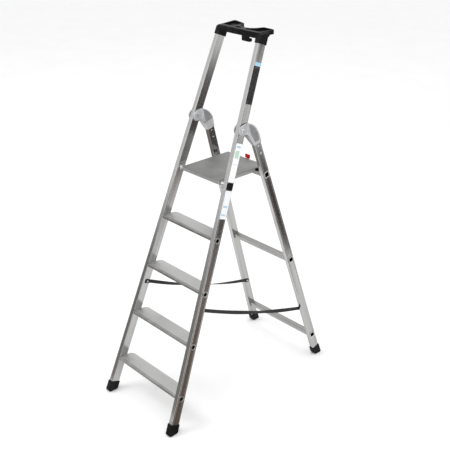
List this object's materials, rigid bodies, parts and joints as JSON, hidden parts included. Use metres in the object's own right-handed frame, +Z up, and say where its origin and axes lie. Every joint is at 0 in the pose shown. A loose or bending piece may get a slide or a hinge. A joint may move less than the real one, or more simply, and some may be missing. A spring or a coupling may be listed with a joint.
{
  "type": "platform step ladder",
  "caption": "Folding aluminium platform step ladder: ribbed treads and a platform between tapering stiles, a hinged rear frame with crossbars, restraint straps and a moulded tool tray.",
  "frame": {"origin": "on the floor in the middle of the open ladder's footprint", "axes": "+Z up, the climber faces +Y and the rear frame is at +Y, +X to the climber's right"},
  "size_m": [0.5076, 1.0376, 1.7347],
  "materials": {
    "stile_aluminium": "mill-finish extrusion",
    "tread_aluminium": "ribbed mill-finish extrusion",
    "deck_aluminium": "dull grey sheet",
    "cast_aluminium": "as cast, satin",
    "zinc_steel": "zinc plated",
    "black_plastic": "moulded, fine texture",
    "foot_rubber": "moulded, dull",
    "webbing": "woven polyester",
    "red_plastic": "moulded",
    "dark_label": "printed film",
    "blue_label": "printed film",
    "white_label": "printed film"
  },
  "bodies": {
    "front_frame": {"front_stile_right": "stile_aluminium", "front_stile_left": "stile_aluminium", "tread_1": "tread_aluminium", "tread_2": "tread_aluminium", "tread_3": "tread_aluminium", "tread_4": "tread_aluminium", "front_foot_right": "foot_rubber", "front_foot_left": "foot_rubber", "tool_tray": "black_plastic", "hinge_bolt_right": "zinc_steel", "hinge_bolt_left": "zinc_steel", "hinge_nut_right": "zinc_steel", "hinge_nut_left": "zinc_steel", "hinge_bush_right": "black_plastic", "hinge_bush_left": "black_plastic", "platform_pivot_plug_right": "black_plastic", "platform_pivot_plug_left": "black_plastic", "platform_pivot_spacer_right": "black_plastic", "platform_pivot_spacer_left": "black_plastic", "strap_front_tab_right": "black_plastic", "strap_front_tab_left": "black_plastic", "strap_front_rivet_right": "zinc_steel", "strap_front_rivet_left": "zinc_steel", "name_label": "dark_label", "band_label": "blue_label", "instruction_label": "white_label", "lower_label": "white_label", "strap_right": "webbing", "strap_left": "webbing"},
    "rear_frame": {"rear_stile_right": "stile_aluminium", "rear_stile_left": "stile_aluminium", "crossbar_1": "stile_aluminium", "crossbar_2": "stile_aluminium", "crossbar_3": "stile_aluminium", "rear_foot_right": "foot_rubber", "rear_foot_left": "foot_rubber", "hinge_casting_right": "cast_aluminium", "hinge_casting_left": "cast_aluminium", "casting_rivet_upper_right": "zinc_steel", "casting_rivet_upper_left": "zinc_steel", "casting_rivet_lower_right": "zinc_steel", "casting_rivet_lower_left": "zinc_steel", "strap_rear_tab_right": "black_plastic", "strap_rear_tab_left": "black_plastic", "strap_rear_rivet_right": "zinc_steel", "strap_rear_rivet_left": "zinc_steel"},
    "platform": {"platform_deck": "deck_aluminium", "platform_axle": "zinc_steel", "platform_saddle_right": "black_plastic", "platform_saddle_left": "black_plastic", "latch_pin": "zinc_steel", "latch_spring": "zinc_steel"},
    "latch": {"latch_lever": "red_plastic"}
  },
  "joints": [
    {"name": "rear_fold", "type": "hinge", "parent": "front_frame", "child": "rear_frame", "pos_m": [0, 0.03066, 1.33093], "axis": [1, 0, 0], "range_deg": [-38, 0], "deforming": ["strap_right", "strap_left"]},
    {"name": "platform_fold", "type": "hinge", "parent": "front_frame", "child": "platform", "pos_m": [0, -0.05964, 1.09456], "axis": [1, 0, 0], "range_deg": [0, 68]},
    {"name": "latch_release", "type": "hinge", "parent": "platform", "child": "latch", "pos_m": [0, 0.20036, 1.09856], "axis": [1, 0, 0], "range_deg": [0, 12], "stiffness_Nm_per_rad": 0.15, "springref_deg": -20.05}
  ],
  "couplings": [
    {"joint": "platform_fold", "follows": "rear_fold", "ratio": -1.7895}
  ]
}
